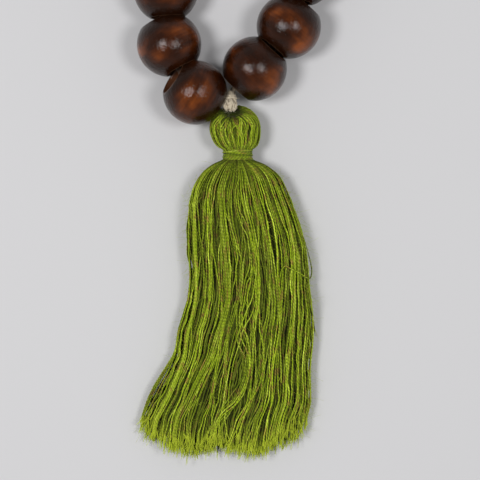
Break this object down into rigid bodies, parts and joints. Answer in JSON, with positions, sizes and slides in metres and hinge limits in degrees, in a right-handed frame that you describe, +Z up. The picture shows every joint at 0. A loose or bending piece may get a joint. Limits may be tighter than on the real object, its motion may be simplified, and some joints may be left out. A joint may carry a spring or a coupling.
{
  "type": "misbaha prayer beads",
  "caption": "Prayer strand of large stained wooden beads on a natural cotton cord, with a round-headed green yarn tassel, laid flat in an open loop.",
  "frame": {"origin": "centre of the laid strand's bounding box, on the surface that it lies on", "axes": "+Z up off the surface; +Y along the strand from the tassel's end to the far end of the loop; +X across the loop, to the right with the tassel nearest"},
  "size_m": [0.1475, 0.475, 0.0257],
  "materials": {
    "stained_bead_wood": "dark walnut stain under a thin clear satin varnish",
    "natural_cotton": "undyed twisted cotton twine, matt",
    "tassel_yarn": "olive-lime stranded cotton yarn, matt with a slight sheen",
    "binding_yarn": "the same olive-lime yarn, wound tight"
  },
  "bodies": {
    "cord": {"stringing_cord": "natural_cotton", "hanging_knot": "natural_cotton"},
    "head": {"tassel_head": "tassel_yarn", "hanger_cord": "natural_cotton", "stopper_knot": "natural_cotton"},
    "neck": {"neck_core": "tassel_yarn", "neck_binding": "binding_yarn"},
    "skirt": {"tassel_skirt": "tassel_yarn"},
    "bead_01_body": {"bead_01": "stained_bead_wood"},
    "bead_02_body": {"bead_02": "stained_bead_wood"},
    "bead_03_body": {"bead_03": "stained_bead_wood"},
    "bead_04_body": {"bead_04": "stained_bead_wood"},
    "bead_05_body": {"bead_05": "stained_bead_wood"},
    "bead_06_body": {"bead_06": "stained_bead_wood"},
    "bead_07_body": {"bead_07": "stained_bead_wood"},
    "bead_08_body": {"bead_08": "stained_bead_wood"},
    "bead_09_body": {"bead_09": "stained_bead_wood"},
    "bead_10_body": {"bead_10": "stained_bead_wood"},
    "bead_11_body": {"bead_11": "stained_bead_wood"},
    "bead_12_body": {"bead_12": "stained_bead_wood"},
    "bead_13_body": {"bead_13": "stained_bead_wood"},
    "bead_14_body": {"bead_14": "stained_bead_wood"},
    "bead_15_body": {"bead_15": "stained_bead_wood"},
    "bead_16_body": {"bead_16": "stained_bead_wood"},
    "bead_17_body": {"bead_17": "stained_bead_wood"},
    "bead_18_body": {"bead_18": "stained_bead_wood"},
    "bead_19_body": {"bead_19": "stained_bead_wood"},
    "bead_20_body": {"bead_20": "stained_bead_wood"},
    "bead_21_body": {"bead_21": "stained_bead_wood"},
    "bead_22_body": {"bead_22": "stained_bead_wood"},
    "bead_23_body": {"bead_23": "stained_bead_wood"},
    "bead_24_body": {"bead_24": "stained_bead_wood"},
    "bead_25_body": {"bead_25": "stained_bead_wood"},
    "bead_26_body": {"bead_26": "stained_bead_wood"},
    "bead_27_body": {"bead_27": "stained_bead_wood"},
    "bead_28_body": {"bead_28": "stained_bead_wood"},
    "bead_29_body": {"bead_29": "stained_bead_wood"},
    "bead_30_body": {"bead_30": "stained_bead_wood"},
    "bead_31_body": {"bead_31": "stained_bead_wood"},
    "bead_32_body": {"bead_32": "stained_bead_wood"},
    "bead_33_body": {"bead_33": "stained_bead_wood"},
    "marker_disc_1_body": {"marker_disc_1": "stained_bead_wood"},
    "marker_disc_2_body": {"marker_disc_2": "stained_bead_wood"}
  },
  "joints": [
    {"name": "neck_lift", "type": "hinge", "parent": "head", "child": "neck", "pos_m": [-0.0085, -0.11905, 0.0154], "axis": [-1, 0, 0], "range_deg": [0, 25]},
    {"name": "skirt_sway", "type": "hinge", "parent": "neck", "child": "skirt", "pos_m": [-0.0085, -0.1235, 0.009], "axis": [0, 0, 1], "range_deg": [-12, 12]},
    {"name": "head_swing", "type": "hinge", "parent": "cord", "child": "head", "pos_m": [-0.0105, -0.09915, 0.009], "axis": [0, 0, 1], "range_deg": [0, 12]},
    {"name": "counting_slide_upper", "type": "slide", "parent": "cord", "child": "bead_24_body", "axis": [0.023, -0.9997, 0], "range_m": [0, 0.0118]},
    {"name": "counting_slide_lower", "type": "slide", "parent": "cord", "child": "bead_25_body", "axis": [0.194, 0.981, 0], "range_m": [0, 0.0118]},
    {"name": "turn_bead_01", "type": "hinge", "parent": "cord", "child": "bead_01_body", "pos_m": [-0.025, -0.0967, 0.0132], "axis": [-0.8229, 0.5142, 0.2419], "continuous": true},
    {"name": "turn_bead_02", "type": "hinge", "parent": "cord", "child": "bead_02_body", "pos_m": [-0.03507, -0.07805, 0.0125], "axis": [-0.4749, 0.8794, -0.033], "continuous": true},
    {"name": "turn_bead_03", "type": "hinge", "parent": "cord", "child": "bead_03_body", "pos_m": [-0.03632, -0.05707, 0.0125], "axis": [-0.0591, 0.9983, 0], "continuous": true},
    {"name": "turn_bead_04", "type": "hinge", "parent": "cord", "child": "bead_04_body", "pos_m": [-0.03806, -0.03613, 0.0125], "axis": [-0.0828, 0.9966, 0], "continuous": true},
    {"name": "turn_bead_05", "type": "hinge", "parent": "cord", "child": "bead_05_body", "pos_m": [-0.04131, -0.01537, 0.0125], "axis": [-0.1546, 0.988, 0], "continuous": true},
    {"name": "turn_bead_06", "type": "hinge", "parent": "cord", "child": "bead_06_body", "pos_m": [-0.045, 0.00532, 0.0125], "axis": [-0.1757, 0.9844, 0], "continuous": true},
    {"name": "turn_bead_07", "type": "hinge", "parent": "cord", "child": "bead_07_body", "pos_m": [-0.0492, 0.0259, 0.0125], "axis": [-0.1997, 0.9798, 0], "continuous": true},
    {"name": "turn_bead_08", "type": "hinge", "parent": "cord", "child": "bead_08_body", "pos_m": [-0.0533, 0.04651, 0.0125], "axis": [-0.1952, 0.9808, 0], "continuous": true},
    {"name": "turn_bead_09", "type": "hinge", "parent": "cord", "child": "bead_09_body", "pos_m": [-0.0569, 0.06721, 0.0125], "axis": [-0.1713, 0.9852, 0], "continuous": true},
    {"name": "turn_bead_10", "type": "hinge", "parent": "cord", "child": "bead_10_body", "pos_m": [-0.05979, 0.08803, 0.0125], "axis": [-0.1376, 0.9905, 0], "continuous": true},
    {"name": "turn_bead_11", "type": "hinge", "parent": "cord", "child": "bead_11_body", "pos_m": [-0.06121, 0.10899, 0.0125], "axis": [-0.0678, 0.9977, 0], "continuous": true},
    {"name": "turn_bead_12", "type": "hinge", "parent": "cord", "child": "bead_12_body", "pos_m": [-0.06081, 0.13709, 0.0125], "axis": [0.0379, 0.9993, 0], "continuous": true},
    {"name": "turn_bead_13", "type": "hinge", "parent": "cord", "child": "bead_13_body", "pos_m": [-0.05886, 0.15801, 0.0125], "axis": [0.0929, 0.9957, 0], "continuous": true},
    {"name": "turn_bead_14", "type": "hinge", "parent": "cord", "child": "bead_14_body", "pos_m": [-0.05386, 0.17842, 0.0125], "axis": [0.2379, 0.9713, 0], "continuous": true},
    {"name": "turn_bead_15", "type": "hinge", "parent": "cord", "child": "bead_15_body", "pos_m": [-0.04529, 0.19761, 0.0125], "axis": [0.4078, 0.9131, 0], "continuous": true},
    {"name": "turn_bead_16", "type": "hinge", "parent": "cord", "child": "bead_16_body", "pos_m": [-0.03154, 0.21349, 0.0125], "axis": [0.6546, 0.7559, 0], "continuous": true},
    {"name": "turn_bead_17", "type": "hinge", "parent": "cord", "child": "bead_17_body", "pos_m": [-0.01316, 0.22368, 0.0125], "axis": [0.8745, 0.4851, 0], "continuous": true},
    {"name": "turn_bead_18", "type": "hinge", "parent": "cord", "child": "bead_18_body", "pos_m": [0.00781, 0.22502, 0.0125], "axis": [0.998, 0.0637, 0], "continuous": true},
    {"name": "turn_bead_19", "type": "hinge", "parent": "cord", "child": "bead_19_body", "pos_m": [0.02686, 0.21616, 0.0125], "axis": [0.9068, -0.4215, 0], "continuous": true},
    {"name": "turn_bead_20", "type": "hinge", "parent": "cord", "child": "bead_20_body", "pos_m": [0.04154, 0.20113, 0.0125], "axis": [0.6987, -0.7154, 0], "continuous": true},
    {"name": "turn_bead_21", "type": "hinge", "parent": "cord", "child": "bead_21_body", "pos_m": [0.05169, 0.18273, 0.0125], "axis": [0.4828, -0.8757, 0], "continuous": true},
    {"name": "turn_bead_22", "type": "hinge", "parent": "cord", "child": "bead_22_body", "pos_m": [0.05719, 0.16245, 0.0125], "axis": [0.2621, -0.9651, 0], "continuous": true},
    {"name": "turn_bead_23", "type": "hinge", "parent": "cord", "child": "bead_23_body", "pos_m": [0.06079, 0.13459, 0.0125], "axis": [0.0908, -0.9959, 0], "continuous": true},
    {"name": "turn_bead_26", "type": "hinge", "parent": "cord", "child": "bead_26_body", "pos_m": [0.05387, 0.04742, 0.0125], "axis": [0.2767, 0.961, 0], "continuous": true},
    {"name": "turn_bead_27", "type": "hinge", "parent": "cord", "child": "bead_27_body", "pos_m": [0.04806, 0.02723, 0.0125], "axis": [0.3422, 0.9396, 0], "continuous": true},
    {"name": "turn_bead_28", "type": "hinge", "parent": "cord", "child": "bead_28_body", "pos_m": [0.04086, 0.00749, 0.0125], "axis": [0.3867, 0.9222, 0], "continuous": true},
    {"name": "turn_bead_29", "type": "hinge", "parent": "cord", "child": "bead_29_body", "pos_m": [0.03274, -0.01189, 0.0125], "axis": [0.3873, 0.9219, 0], "continuous": true},
    {"name": "turn_bead_30", "type": "hinge", "parent": "cord", "child": "bead_30_body", "pos_m": [0.0246, -0.03126, 0.0125], "axis": [0.3696, 0.9292, 0], "continuous": true},
    {"name": "turn_bead_31", "type": "hinge", "parent": "cord", "child": "bead_31_body", "pos_m": [0.01683, -0.05078, 0.0125], "axis": [0.263, 0.9648, 0], "continuous": true},
    {"name": "turn_bead_32", "type": "hinge", "parent": "cord", "child": "bead_32_body", "pos_m": [0.01131, -0.07106, 0.0125], "axis": [0.6286, 0.7778, 0], "continuous": true},
    {"name": "turn_bead_33", "type": "hinge", "parent": "cord", "child": "bead_33_body", "pos_m": [-0.0019, -0.0874, 0.0125], "axis": [0.6754, 0.7242, 0.1392], "continuous": true},
    {"name": "turn_marker_disc_1", "type": "hinge", "parent": "cord", "child": "marker_disc_1_body", "pos_m": [-0.06134, 0.12305, 0.0125], "axis": [-0.0092, 1, 0], "continuous": true},
    {"name": "turn_marker_disc_2", "type": "hinge", "parent": "cord", "child": "marker_disc_2_body", "pos_m": [0.05951, 0.14859, 0.0125], "axis": [0.1648, -0.9863, 0], "continuous": true}
  ]
}
